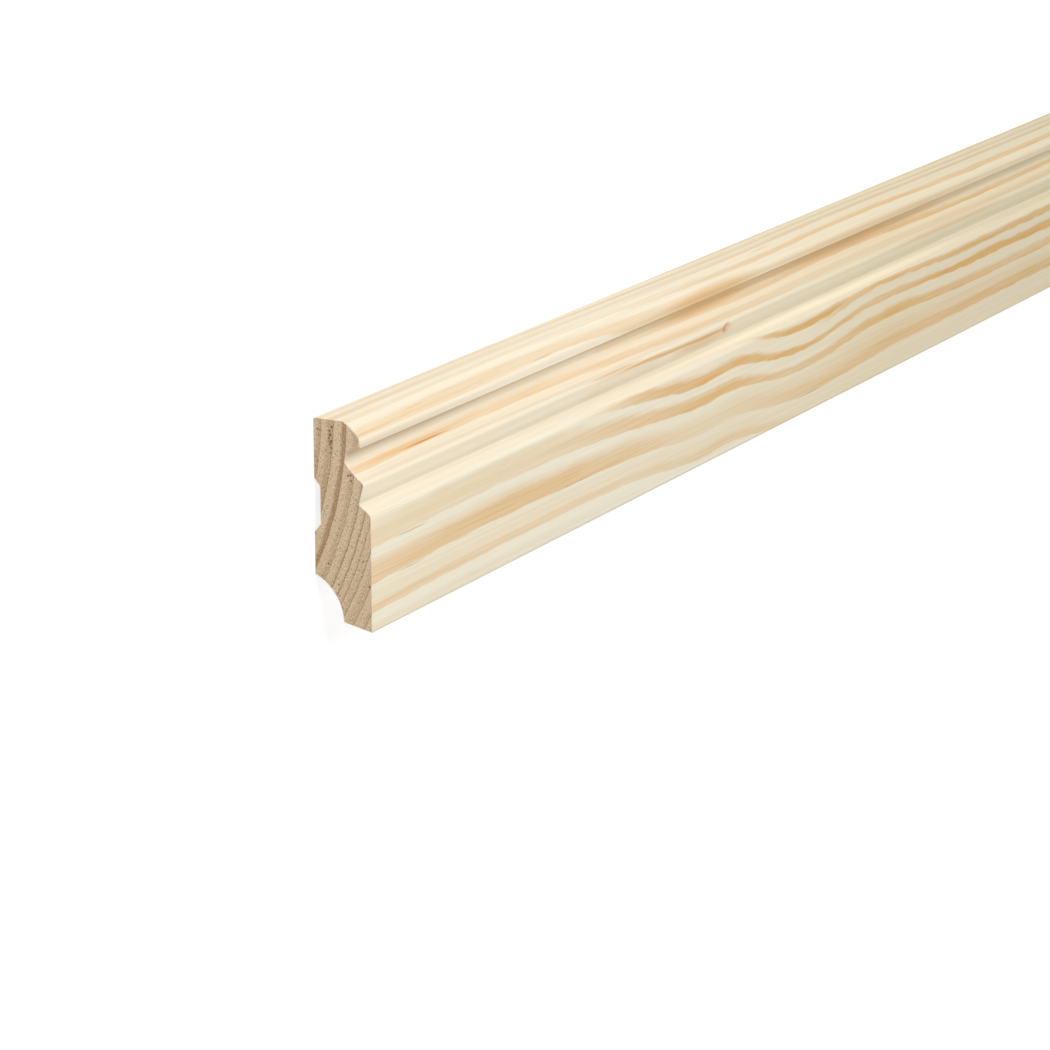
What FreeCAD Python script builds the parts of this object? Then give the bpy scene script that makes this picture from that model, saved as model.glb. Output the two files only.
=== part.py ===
import FreeCAD, Part
import Sketcher
import math
import os

# Skirting board of solid pine, moulded on a four-sided planer and sold in 2.4 m lengths.
# It lies on its back with the moulded face up: X runs along the board, +Y towards its top
# edge and +Z out of its face. The origin is under the middle of the board.
# The section is drawn as height above the foot and depth from the back, which become Y and Z.
# Lengths are in millimetres and angles in degrees.

DRIVING_SIZES = {
    # The planed blank
    "board_length": 2400,
    "board_height": 58,
    "board_thickness": 18,
    # Crown, from the top edge down: an ovolo, a narrow land below it and a short return.
    # A setback is how far a member lies behind the face of the fascia.
    "crown_setback": 8.5,
    "crown_height": 4.8,
    "crown_radius": 11,
    "crown_land": 2,
    "crown_return": 0.4,
    # Scotia, the deep cove under the crown, with a tight turn into its long lower ramp
    "scotia_setback": 7.9,
    "scotia_radius": 4.2,
    "scotia_turn_radius": 1.2,
    "scotia_ramp_radius": 18,
    "scotia_height": 10.45,
    # Bead, and the neck that falls in below it
    "bead_setback": 2.3,
    "bead_radius": 1.6,
    "neck_angle": 16,
    "neck_radius": 0.6,
    # Shoulder, which comes out from the neck and rounds over into the flat fascia
    "shoulder_height": 9.05,
    "shoulder_angle": 33,
    "shoulder_radius": 2.5,
    # Heel: the foot rises towards the wall, and a cove takes out the corner behind it
    "foot_angle": 11,
    "foot_width": 9.1,
    "heel_height": 14.2,
    "heel_radius": 14,
    # Relief groove, which leaves the back two pads that lie flat against the wall
    "upper_pad_height": 16.7,
    "groove_height": 15.1,
    "groove_depth": 1.9,
    "groove_bevel": 2.3,
    # The front corner of the foot and the back corner of the top edge, taken off by hand
    "arris_radius": 0.4,
}

# How a sketch names the ends and centre of a curve, its first axis (the height) and its origin
START, END, CENTRE = range(1, 4)
FIRST_AXIS = -1
ORIGIN = (FIRST_AXIS, START)

# The turn from the height axis to the depth axis
UPRIGHT = 90

doc = FreeCAD.newDocument("skirting_board_length")
sheet = doc.addObject("Spreadsheet::Sheet", "sizes")
for row, (alias, value) in enumerate(DRIVING_SIZES.items(), start=1):
    sheet.set(f"A{row}", alias)
    sheet.set(f"B{row}", str(value))
    sheet.setAlias(f"B{row}", alias)
doc.recompute()


def size(alias):
    return float(sheet.get(alias))


def point(height, depth):
    return FreeCAD.Vector(height, depth, 0)


def polar(radius, degrees):
    """A step of that radius, turned from the height axis towards the face."""
    return point(radius * math.cos(math.radians(degrees)), radius * math.sin(math.radians(degrees)))


def circle(centre, radius):
    return Part.Circle(centre, FreeCAD.Vector(0, 0, 1), radius)


def crossing(first, second, nearer_to):
    """Where two circles or lines of the section cross: min picks the crossing nearer to the
    wall, max the one nearer to the room."""
    return nearer_to((point(p.X, p.Y) for p in first.intersect(second)), key=lambda p: p.y)


def section_sketch(body, name):
    """An empty sketch across the board, at the middle of its length."""
    sketch = body.newObject("Sketcher::SketchObject", name)
    plane = next(f for f in body.Origin.OriginFeatures if f.Role == "YZ_Plane")
    sketch.AttachmentSupport = (plane, "")
    sketch.MapMode = "FlatFace"
    return sketch


def line(sketch, start, end):
    return sketch.addGeometry(Part.LineSegment(start, end))


def arc(sketch, centre, start, end):
    """An arc about centre, from start to end by the turn that takes the height axis to the face."""
    first, last = (math.atan2(p.y - centre.y, p.x - centre.x) for p in (start, end))
    return sketch.addGeometry(Part.ArcOfCircle(circle(centre, centre.distanceToPoint(start)), first, last))


def hold(sketch, kind, *places):
    sketch.addConstraint(Sketcher.Constraint(kind, *places))


def drive(sketch, alias, kind, *places, value=None, formula=None):
    """Adds a dimension that is named after a size in the sheet and follows it, or follows a
    formula with it, which comes with its present value."""
    value = size(alias) if value is None else value
    if kind == "Angle":
        value = math.radians(value)
    number = sketch.addConstraint(Sketcher.Constraint(kind, *places, value))
    sketch.renameConstraint(number, alias)
    sketch.setExpression(f"Constraints.{alias}", formula or f"sizes.{alias}")


def finished(sketch):
    """Solves the sketch and makes sure that nothing in it is left loose or contradicts the rest."""
    doc.recompute()
    if sketch.solve() != 0 or not sketch.FullyConstrained:
        raise RuntimeError(f"{sketch.Name} isn't fully constrained")
    return sketch


def machine_away(body, name, sketch):
    """Runs a cutter with the sketch's outline along the whole board."""
    before = body.Shape.Volume
    cut = body.newObject("PartDesign::Pocket", name)
    cut.Profile = sketch
    cut.Type = "ThroughAll"
    cut.SideType = "Symmetric"
    doc.recompute()
    if not body.Shape.Volume < before:
        raise RuntimeError(f"{name} cuts nothing")


def plane_blank(body):
    """The planed blank that the sections are cut from, as long as the board is sold."""
    sketch = section_sketch(body, "blank_section")
    foot_back = point(0, 0)
    foot_face = point(0, size("board_thickness"))
    top_face = point(size("board_height"), size("board_thickness"))
    top_back = point(size("board_height"), 0)
    foot = line(sketch, foot_back, foot_face)
    face = line(sketch, foot_face, top_face)
    top = line(sketch, top_face, top_back)
    back = line(sketch, top_back, foot_back)
    for first, second in ((foot, face), (face, top), (top, back), (back, foot)):
        hold(sketch, "Coincident", first, END, second, START)
    hold(sketch, "Coincident", foot, START, *ORIGIN)
    for upright in (foot, top):
        hold(sketch, "Vertical", upright)
    for level in (face, back):
        hold(sketch, "Horizontal", level)
    drive(sketch, "board_thickness", "DistanceY", foot, START, foot, END)
    drive(sketch, "board_height", "DistanceX", face, START, face, END)

    blank = body.newObject("PartDesign::Pad", "blank")
    blank.Profile = finished(sketch)
    blank.SideType = "Symmetric"
    blank.setExpression("Length", "sizes.board_length")
    doc.recompute()


def mould_face(body):
    """The moulding along the upper half of the face, cut from the top edge down to the fascia."""
    sketch = section_sketch(body, "face_section")
    corner = point(size("board_height"), size("board_thickness"))

    # Crown and scotia
    scotia_centre = corner - point(
        size("crown_height") + size("crown_land") + size("scotia_radius"),
        size("scotia_setback") - size("scotia_radius"),
    )
    scotia_top = scotia_centre + point(size("scotia_radius"), 0)
    scotia_floor = scotia_centre - point(0, size("scotia_radius"))
    land_foot = scotia_top + point(0, size("crown_return"))
    land_top = land_foot + point(size("crown_land"), 0)
    crown_top = corner - point(0, size("crown_setback"))
    crown_centre = crossing(
        circle(crown_top, size("crown_radius")), circle(land_top, size("crown_radius")), min
    )

    # Bead, and the ramp that runs from the scotia's floor down to it
    bead_centre = point(
        land_foot.x - size("scotia_height"), corner.y - size("bead_setback") - size("bead_radius")
    )
    turn_centre = scotia_floor + point(0, size("scotia_turn_radius"))
    ramp_centre = crossing(
        circle(turn_centre, size("scotia_ramp_radius") - size("scotia_turn_radius")),
        circle(bead_centre, size("scotia_ramp_radius") + size("bead_radius")),
        max,
    )
    ramp_top = turn_centre + (turn_centre - ramp_centre).normalize() * size("scotia_turn_radius")
    ramp_foot = bead_centre + (ramp_centre - bead_centre).normalize() * size("bead_radius")

    # Neck and shoulder
    neck_lean = size("neck_angle")
    shoulder_lean = UPRIGHT + size("shoulder_angle")
    shoulder_centre = point(bead_centre.x - size("shoulder_height"), corner.y - size("shoulder_radius"))
    beside_bead = bead_centre + polar(size("bead_radius") + size("neck_radius"), neck_lean + UPRIGHT)
    beside_shoulder = shoulder_centre + polar(
        size("shoulder_radius") + size("neck_radius"), shoulder_lean - UPRIGHT
    )
    neck_centre = crossing(
        Part.Line(beside_bead, beside_bead + polar(1, neck_lean)),
        Part.Line(beside_shoulder, beside_shoulder + polar(1, shoulder_lean)),
        min,
    )
    bead_foot = bead_centre + polar(size("bead_radius"), neck_lean + UPRIGHT)
    neck_top = neck_centre - polar(size("neck_radius"), neck_lean + UPRIGHT)
    neck_foot = neck_centre - polar(size("neck_radius"), shoulder_lean - UPRIGHT)
    shoulder_top = shoulder_centre + polar(size("shoulder_radius"), shoulder_lean - UPRIGHT)
    fascia_top = shoulder_centre + point(0, size("shoulder_radius"))

    # The outline of the waste, from the top edge down the moulding and back up the face
    crown = arc(sketch, crown_centre, crown_top, land_top)
    land = line(sketch, land_foot, land_top)
    crown_return = line(sketch, scotia_top, land_foot)
    scotia = arc(sketch, scotia_centre, scotia_floor, scotia_top)
    turn = arc(sketch, turn_centre, ramp_top, scotia_floor)
    ramp = arc(sketch, ramp_centre, ramp_foot, ramp_top)
    bead = arc(sketch, bead_centre, ramp_foot, bead_foot)
    neck_fall = line(sketch, neck_top, bead_foot)
    neck = arc(sketch, neck_centre, neck_foot, neck_top)
    shoulder_rise = line(sketch, neck_foot, shoulder_top)
    shoulder = arc(sketch, shoulder_centre, shoulder_top, fascia_top)
    face = line(sketch, fascia_top, corner)
    top = line(sketch, corner, crown_top)

    for first, first_end, second, second_end in (
        (crown, END, land, END),
        (land, START, crown_return, END),
        (shoulder, END, face, START),
        (face, END, top, START),
        (top, END, crown, START),
    ):
        hold(sketch, "Coincident", first, first_end, second, second_end)
    for first, first_end, second, second_end in (
        (crown_return, START, scotia, END),
        (scotia, START, turn, END),
        (turn, START, ramp, END),
        (ramp, START, bead, START),
        (bead, END, neck_fall, END),
        (neck_fall, START, neck, END),
        (neck, START, shoulder_rise, START),
        (shoulder_rise, END, shoulder, START),
    ):
        hold(sketch, "Tangent", first, first_end, second, second_end)
    for level in (land, face):
        hold(sketch, "Horizontal", level)
    for upright in (crown_return, top):
        hold(sketch, "Vertical", upright)
    hold(sketch, "Vertical", scotia, CENTRE, scotia, START)
    hold(sketch, "Vertical", shoulder, CENTRE, shoulder, END)

    drive(sketch, "board_height", "DistanceX", *ORIGIN, face, END)
    drive(sketch, "board_thickness", "DistanceY", *ORIGIN, face, END)
    drive(sketch, "crown_setback", "DistanceY", crown, START, face, END)
    drive(sketch, "crown_height", "DistanceX", crown, END, face, END)
    drive(sketch, "crown_radius", "Radius", crown)
    drive(sketch, "crown_land", "DistanceX", land, START, land, END)
    drive(sketch, "crown_return", "DistanceY", crown_return, START, crown_return, END)
    drive(sketch, "scotia_setback", "DistanceY", scotia, START, face, END)
    drive(sketch, "scotia_radius", "Radius", scotia)
    drive(sketch, "scotia_turn_radius", "Radius", turn)
    drive(sketch, "scotia_ramp_radius", "Radius", ramp)
    drive(sketch, "scotia_height", "DistanceX", bead, CENTRE, land, START)
    drive(
        sketch, "bead_setback", "DistanceY", bead, CENTRE, face, END,
        value=corner.y - bead_centre.y, formula="sizes.bead_setback + sizes.bead_radius",
    )
    drive(sketch, "bead_radius", "Radius", bead)
    drive(sketch, "neck_angle", "Angle", neck_fall)
    drive(sketch, "neck_radius", "Radius", neck)
    drive(
        sketch, "shoulder_angle", "Angle", shoulder_rise,
        value=shoulder_lean, formula=f"{UPRIGHT} + sizes.shoulder_angle",
    )
    drive(sketch, "shoulder_height", "DistanceX", shoulder, CENTRE, bead, CENTRE)
    drive(sketch, "shoulder_radius", "Radius", shoulder)
    machine_away(body, "face_moulding", finished(sketch))


def cut_heel(body):
    """The foot, which touches the floor only along its front corner, and the cove behind it that
    clears the wall's bottom corner and leaves room for a thin cable."""
    sketch = section_sketch(body, "heel_section")
    foot_front = point(0, size("board_thickness"))
    foot_back = foot_front + point(
        size("foot_width") * math.tan(math.radians(size("foot_angle"))), -size("foot_width")
    )
    heel_top = point(size("heel_height"), 0)
    cove_centre = crossing(
        circle(heel_top, size("heel_radius")), circle(foot_back, size("heel_radius")), min
    )
    foot = line(sketch, foot_back, foot_front)
    cove = arc(sketch, cove_centre, heel_top, foot_back)
    back = line(sketch, point(0, 0), heel_top)
    bottom = line(sketch, foot_front, point(0, 0))
    hold(sketch, "Coincident", foot, START, cove, END)
    hold(sketch, "Coincident", cove, START, back, END)
    hold(sketch, "Coincident", back, START, *ORIGIN)
    hold(sketch, "Coincident", bottom, END, back, START)
    hold(sketch, "Coincident", foot, END, bottom, START)
    hold(sketch, "Horizontal", back)
    hold(sketch, "Vertical", bottom)
    drive(sketch, "board_thickness", "DistanceY", bottom, END, bottom, START)
    drive(
        sketch, "foot_angle", "Angle", foot,
        value=UPRIGHT + size("foot_angle"), formula=f"{UPRIGHT} + sizes.foot_angle",
    )
    drive(sketch, "foot_width", "DistanceY", foot, START, foot, END)
    drive(sketch, "heel_height", "DistanceX", back, START, back, END)
    drive(sketch, "heel_radius", "Radius", cove)
    machine_away(body, "heel_cove", finished(sketch))


def cut_relief_groove(body):
    """A shallow groove with bevelled sides along the back, so that a cupped board still lies flat."""
    sketch = section_sketch(body, "groove_section")
    mouth_top = point(size("board_height") - size("upper_pad_height"), 0)
    mouth_foot = mouth_top - point(size("groove_height"), 0)
    floor_top = mouth_top + point(-size("groove_bevel"), size("groove_depth"))
    floor_foot = mouth_foot + point(size("groove_bevel"), size("groove_depth"))
    mouth = line(sketch, mouth_foot, mouth_top)
    upper_bevel = line(sketch, mouth_top, floor_top)
    floor = line(sketch, floor_top, floor_foot)
    lower_bevel = line(sketch, floor_foot, mouth_foot)
    top_edge = line(sketch, mouth_top, point(size("board_height"), 0))
    sketch.toggleConstruction(top_edge)
    outline = (mouth, upper_bevel, floor, lower_bevel)
    for first, second in zip(outline, outline[1:] + outline[:1]):
        hold(sketch, "Coincident", first, END, second, START)
    hold(sketch, "Coincident", mouth, END, top_edge, START)
    hold(sketch, "PointOnObject", top_edge, START, FIRST_AXIS)
    for level in (mouth, floor, top_edge):
        hold(sketch, "Horizontal", level)
    hold(sketch, "Equal", upper_bevel, lower_bevel)
    drive(sketch, "board_height", "DistanceX", *ORIGIN, top_edge, END)
    drive(sketch, "upper_pad_height", "DistanceX", top_edge, START, top_edge, END)
    drive(sketch, "groove_height", "DistanceX", mouth, START, mouth, END)
    drive(sketch, "groove_depth", "DistanceY", mouth, END, floor, START)
    drive(sketch, "groove_bevel", "DistanceX", floor, START, mouth, END)
    machine_away(body, "relief_groove", finished(sketch))


def ease_arrises(body):
    """Rounds the two long corners that a hand meets first, so that they don't splinter."""
    arrises = (point(0, size("board_thickness")), point(size("board_height"), 0))
    names = []
    for number, edge in enumerate(body.Shape.Edges, start=1):
        middle = body.Placement.inverse().multVec(edge.CenterOfMass)
        if any(point(middle.y, middle.z).isEqual(arris, 1e-4) for arris in arrises):
            names.append(f"Edge{number}")
    if len(names) != len(arrises):
        raise RuntimeError("the corners to ease weren't found")
    machined = body.Tip
    fillet = body.newObject("PartDesign::Fillet", "eased_arrises")
    fillet.Base = (machined, names)
    fillet.setExpression("Radius", "sizes.arris_radius")
    doc.recompute()


def skirting_board():
    """One length of moulding, worked from a single piece of pine."""
    body = doc.addObject("PartDesign::Body", "skirting_board")
    body.Label = "skirting_board"
    plane_blank(body)
    mould_face(body)
    cut_heel(body)
    cut_relief_groove(body)
    ease_arrises(body)
    body.setExpression("Placement.Base.y", "-sizes.board_height / 2")
    doc.recompute()
    return body


sub_parts = [skirting_board()]

for item in doc.Objects:
    if {"Invalid", "Error"} & set(item.State):
        raise RuntimeError(f"{item.Name} is {item.State}")
os.makedirs("parts", exist_ok=True)
for sub_part in sub_parts:
    shape = sub_part.Shape
    if shape.isNull() or not shape.isValid() or len(shape.Solids) != 1:
        raise RuntimeError(f"{sub_part.Label} isn't one valid solid")
    shape.exportStep(f"parts/{sub_part.Label}.step")
    box = shape.BoundBox
    print(f"{sub_part.Label}: {box.XLength:.2f} x {box.YLength:.2f} x {box.ZLength:.2f} mm, "
          f"{shape.Volume / 1000:.1f} cm3, {len(shape.Faces)} faces")
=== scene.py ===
import math

import bpy
from mathutils import Matrix, Vector
from mathutils.geometry import intersect_line_line_2d, intersect_sphere_sphere_2d


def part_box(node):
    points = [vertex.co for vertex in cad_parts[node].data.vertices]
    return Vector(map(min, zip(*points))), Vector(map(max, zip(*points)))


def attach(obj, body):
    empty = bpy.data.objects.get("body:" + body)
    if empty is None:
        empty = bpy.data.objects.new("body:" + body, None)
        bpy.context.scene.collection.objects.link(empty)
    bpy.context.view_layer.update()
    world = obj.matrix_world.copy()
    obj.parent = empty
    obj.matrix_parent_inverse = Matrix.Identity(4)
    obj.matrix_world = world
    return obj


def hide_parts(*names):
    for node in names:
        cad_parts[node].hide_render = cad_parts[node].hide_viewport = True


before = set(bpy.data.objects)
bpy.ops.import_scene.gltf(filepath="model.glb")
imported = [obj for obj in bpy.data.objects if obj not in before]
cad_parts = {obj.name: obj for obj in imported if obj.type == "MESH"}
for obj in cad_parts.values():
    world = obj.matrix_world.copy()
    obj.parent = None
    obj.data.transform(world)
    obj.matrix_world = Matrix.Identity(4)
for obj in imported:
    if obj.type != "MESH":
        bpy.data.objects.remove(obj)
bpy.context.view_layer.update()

# The board's section
# One length of solid pine. A four-sided planer cuts its whole section in one pass: the crown,
# scotia, bead and shoulder, the flat fascia, the slanted foot, the heel cove and the relieved back.
MM = 0.001
low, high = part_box("skirting_board")
HEIGHT, THICKNESS = 58.0, (high.z - low.z) / MM
FOOT_Y = high.y - HEIGHT * MM
CROWN_SETBACK, CROWN_HEIGHT, CROWN_RADIUS = 8.5, 4.8, 11.0
CROWN_LAND, CROWN_RETURN = 2.0, 0.4
SCOTIA_SETBACK, SCOTIA_RADIUS, SCOTIA_HEIGHT = 7.9, 4.2, 10.45
TURN_RADIUS, RAMP_RADIUS = 1.2, 18.0
BEAD_SETBACK, BEAD_RADIUS = 2.3, 1.6
NECK_ANGLE, NECK_RADIUS = 16.0, 0.6
SHOULDER_HEIGHT, SHOULDER_ANGLE, SHOULDER_RADIUS = 9.05, 33.0, 2.5
FOOT_ANGLE, FOOT_WIDTH = 11.0, 9.1
HEEL_HEIGHT, HEEL_RADIUS = 14.2, 14.0
UPPER_PAD, GROOVE_HEIGHT, GROOVE_DEPTH, GROOVE_BEVEL = 16.7, 15.1, 1.9, 2.3
ARRIS_RADIUS = 0.4
# How far a chord may lie inside its arc
CHORD_ERROR = 0.004
# A straight run gets a point this far from each of its ends, if it is long enough. That is further
# than the sawn ends are eased, so that the eased outline never crosses itself.
SUPPORT = 0.45
LEAST_RUN = 4 * SUPPORT


def at(height, depth):
    """A point of the section, in millimetres above the foot and out from the back."""
    return Vector((height, depth))


def polar(radius, degrees):
    """A step of that length, turned from the height axis towards the face."""
    return at(radius * math.cos(math.radians(degrees)), radius * math.sin(math.radians(degrees)))


def bend(centre, radius, start, end):
    """Points of an arc from one point to another, the short way round, close enough to look round."""
    first, last = start - centre, end - centre
    turn = math.atan2(first.x * last.y - first.y * last.x, first.dot(last))
    steps = max(2, math.ceil(abs(turn) / (2 * math.acos(1 - CHORD_ERROR / radius))))
    angle = math.degrees(math.atan2(first.y, first.x))
    return [centre + polar(radius, angle + math.degrees(turn) * i / steps) for i in range(steps + 1)]


def crossing(centre, radius, other, other_radius, nearer_to):
    """Where two circles cross: min picks the crossing nearer to the wall, max the other."""
    return nearer_to(intersect_sphere_sphere_2d(centre, radius, other, other_radius), key=lambda p: p.y)


def rounded(before, corner, after, radius):
    """The corner between two straight runs, rounded to that radius."""
    back, ahead = (before - corner).normalized(), (after - corner).normalized()
    half = back.angle(ahead) / 2
    centre = corner + (back + ahead).normalized() * (radius / math.sin(half))
    reach = radius / math.tan(half)
    return bend(centre, radius, corner + back * reach, corner + ahead * reach)


def section_outline():
    """The section's points, from the top of the back over the face and the foot and up the back."""
    corner = at(HEIGHT, THICKNESS)
    top_back, crown_top = at(HEIGHT, 0), corner - at(0, CROWN_SETBACK)
    scotia = corner - at(CROWN_HEIGHT + CROWN_LAND + SCOTIA_RADIUS, SCOTIA_SETBACK - SCOTIA_RADIUS)
    land_foot = scotia + at(SCOTIA_RADIUS, CROWN_RETURN)
    land_top = land_foot + at(CROWN_LAND, 0)
    crown = crossing(crown_top, CROWN_RADIUS, land_top, CROWN_RADIUS, min)
    bead = at(land_foot.x - SCOTIA_HEIGHT, THICKNESS - BEAD_SETBACK - BEAD_RADIUS)
    turn = scotia - at(0, SCOTIA_RADIUS - TURN_RADIUS)
    ramp = crossing(turn, RAMP_RADIUS - TURN_RADIUS, bead, RAMP_RADIUS + BEAD_RADIUS, max)
    ramp_top = turn + (turn - ramp).normalized() * TURN_RADIUS
    ramp_foot = bead + (ramp - bead).normalized() * BEAD_RADIUS
    bead_foot = bead + polar(BEAD_RADIUS, 90 + NECK_ANGLE)
    shoulder = at(bead.x - SHOULDER_HEIGHT, THICKNESS - SHOULDER_RADIUS)
    shoulder_top = shoulder + polar(SHOULDER_RADIUS, SHOULDER_ANGLE)
    neck = intersect_line_line_2d(
        bead_foot, bead_foot - polar(HEIGHT, NECK_ANGLE),
        shoulder_top, shoulder_top - polar(HEIGHT, 90 + SHOULDER_ANGLE),
    )
    foot_front = at(0, THICKNESS)
    foot_back = foot_front + at(FOOT_WIDTH * math.tan(math.radians(FOOT_ANGLE)), -FOOT_WIDTH)
    heel_top = at(HEEL_HEIGHT, 0)
    heel = crossing(heel_top, HEEL_RADIUS, foot_back, HEEL_RADIUS, min)
    groove_top = at(HEIGHT - UPPER_PAD, 0)
    groove_foot = groove_top - at(GROOVE_HEIGHT, 0)
    runs = [
        rounded(groove_top, top_back, crown_top, ARRIS_RADIUS),
        bend(crown, CROWN_RADIUS, crown_top, land_top),
        [land_foot],
        bend(scotia, SCOTIA_RADIUS, scotia + at(SCOTIA_RADIUS, 0), scotia - at(0, SCOTIA_RADIUS)),
        bend(turn, TURN_RADIUS, turn - at(0, TURN_RADIUS), ramp_top)[1:],
        bend(ramp, RAMP_RADIUS, ramp_top, ramp_foot)[1:],
        bend(bead, BEAD_RADIUS, ramp_foot, bead_foot)[1:],
        rounded(bead_foot, neck, shoulder_top, NECK_RADIUS),
        bend(shoulder, SHOULDER_RADIUS, shoulder_top, shoulder + at(0, SHOULDER_RADIUS)),
        rounded(corner, foot_front, foot_back, ARRIS_RADIUS),
        bend(heel, HEEL_RADIUS, foot_back, heel_top),
        [groove_foot, groove_foot + at(GROOVE_BEVEL, GROOVE_DEPTH)],
        [groove_top + at(-GROOVE_BEVEL, GROOVE_DEPTH), groove_top],
    ]
    return [p for run in runs for p in run]


def supported(outline):
    """The outline with a point near each end of a straight run, so that a flat is shaded flat."""
    points = []
    for start, end in zip(outline, outline[1:] + outline[:1]):
        points.append(start)
        run = end - start
        if run.length > LEAST_RUN:
            points += [start + run.normalized() * SUPPORT, end - run.normalized() * SUPPORT]
    return points


# The pine's growth rings
# Each year the tree lays down a ring of pale earlywood that darkens into tan latewood and stops
# sharply at winter. The blank was sawn beside the pith, so the rings cross the section as arcs
# and run along the faces as bands, which wander where the stem was not straight.
PITH = (0.0, 62.0, -95.0)
# For each ring its outer edge from the pith, its tone and winter line on the sawn end, and for a
# few places along the board the width of the latewood and its tone. Two rings low on the fascia
# have a second entry, for latewood that also sets in wider and fainter.
RINGS = [
    (90.6, 0.4, 0.3, [(0, 1.6, 0.3), (600, 1.6, 0.5)]),
    (94.2, 0.4, 0.3, [(0, 1.4, 0.3), (600, 1.4, 0.5)]),
    (97.9, 0.4, 0.3, [(0, 1.6, 0.3), (600, 1.3, 0.5)]),
    (101.8, 0.5, 0.4, [(0, 2.5, 0.5), (150, 2.5, 0.2), (240, 2.5, 0.4), (600, 1.5, 0.5)]),
    (105.8, 0.9, 0.3, [(0, 1.7, 0.3), (150, 1.7, 0.2), (320, 1.5, 0.6), (600, 1.6, 0.6)]),
    (109.5, 0.4, 0.2, [(0, 1.9, 0.4), (160, 2.2, 0.4), (300, 2.3, 0.2), (600, 2.2, 0.5)]),
    (112.4, 0.3, 0.8, [(0, 1.3, 0.1), (240, 1.3, 0.1), (400, 1.3, 0.0), (600, 1.3, 0.4)]),
    (114.8, 0.3, 0.8, [
        (0, 0.9, 0.1), (230, 0.9, 0.1), (250, 0.9, 0.8), (290, 0.7, 0.9), (320, 0.6, 0.0),
        (440, 0.6, 0.0), (600, 0.9, 0.5),
    ]),
    (115.3, 0.0, 0.0, [
        (0, 0.8, 0.0), (280, 0.8, 0.0), (310, 0.8, 0.6), (400, 0.8, 0.8), (600, 0.9, 0.3),
    ]),
    (116.9, 0.2, 0.6, [
        (0, 1.2, 0.1), (120, 1.2, 0.1), (160, 1.3, 0.7), (230, 1.0, 0.9), (280, 0.7, 0.9),
        (330, 0.8, 0.7), (400, 0.8, 1.0), (600, 1.2, 0.6),
    ]),
    (119.2, 0.2, 0.7, [
        (0, 2.1, 0.4), (100, 2.1, 0.4), (150, 1.6, 0.6), (210, 1.4, 0.8), (270, 1.0, 0.6),
        (340, 1.2, 0.8), (420, 1.2, 0.7), (600, 1.8, 0.5),
    ]),
    (122.7, 0.3, 0.5, [
        (0, 2.6, 0.6), (150, 2.6, 0.6), (190, 2.4, 0.3), (240, 2.2, 0.2), (290, 1.8, 0.3),
        (600, 2.4, 0.5),
    ]),
    (122.6, 0.0, 0.0, [
        (0, 3.2, 0.0), (150, 3.2, 0.0), (300, 3.3, 0.3), (420, 3.3, 0.3), (600, 3.2, 0.0),
    ]),
    (126.1, 0.3, 0.5, [
        (0, 1.3, 0.4), (160, 1.4, 0.2), (240, 1.4, 0.3), (280, 1.2, 0.1), (600, 1.5, 0.5),
    ]),
    (126.0, 0.0, 0.0, [(0, 3.2, 0.2), (200, 3.2, 0.2), (300, 3.0, 0.1), (600, 3.0, 0.0)]),
    (128.9, 0.3, 0.4, [(0, 1.6, 0.2), (420, 1.6, 0.1), (600, 1.6, 0.5)]),
    (132.2, 0.3, 0.4, [(0, 1.6, 0.5), (600, 1.6, 0.5)]),
]
# The stem swells where a branch left it, which shows as a pin knot at 220 mm, so the rings wander
# outward there: places along the board and how far, at three distances from the pith
WANDER_CROWN = [(0, 0.0), (100, -0.3), (200, 1.7), (240, 2.3), (320, 1.7), (420, 2.7), (600, 1.5)]
WANDER_FASCIA = [
    (0, 0.1), (100, -0.2), (150, 0.5), (200, 1.7), (220, 1.5), (270, 3.1), (330, 1.9), (420, 2.4),
    (600, 1.2),
]
WANDER_FOOT = [
    (0, 0.1), (80, -0.2), (150, 0.1), (200, 1.7), (220, 1.5), (270, 3.3), (350, 2.5), (420, 2.5),
    (600, 1.0),
]
# Each wander gives way to the next between these distances from the pith
TO_FASCIA, TO_FOOT = (111.0, 115.0), (121.0, 124.5)
# The rings also drift slowly, at random: how wide they swing near the end, how much wider far
# along the board, and the places between which that grows
NEAR_SWING, FAR_SWING = 0.8, 9.0
FAR_FROM, FAR_FULL = 430.0, 750.0
# Each noise has the size of its grains in millimetres, along the board, up it and into it, and its
# detail. Feathering follows the fibres, which are too fine to show, so it is drawn coarser.
SLOW_NOISE, RIPPLE_NOISE = ((160, 40, 40), 1.0), ((11, 6, 6), 2.0)
SOFT_NOISE, FEATHER_NOISE = ((45, 3, 3), 3.0), ((40, 0.6, 0.6), 3.0)
# How wide noise swings a ring's edge and the start of its latewood, and by what share its tone
RIPPLE, SOFTNESS, FEATHERING = 0.5, 0.8, 0.3
# Most noise lies between these
NOISE_LOW, NOISE_HIGH = 0.25, 0.75
# Latewood sets in and is full at these shares of its width, back from the ring's outer edge, and
# fades out from just short of that edge to just past it
LATE_FROM, LATE_FULL = 1.15, 0.55
STOP_SHORT, STOP_PAST = 0.12, 0.1
# The winter line sets in and is full this far short of the edge
LINE_FROM, LINE_FULL = 0.5, 0.15
# Earlywood turns from cool to warm between these distances from the pith
COOL_OUTSIDE, WARM_INSIDE = 117.5, 114.0


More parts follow.
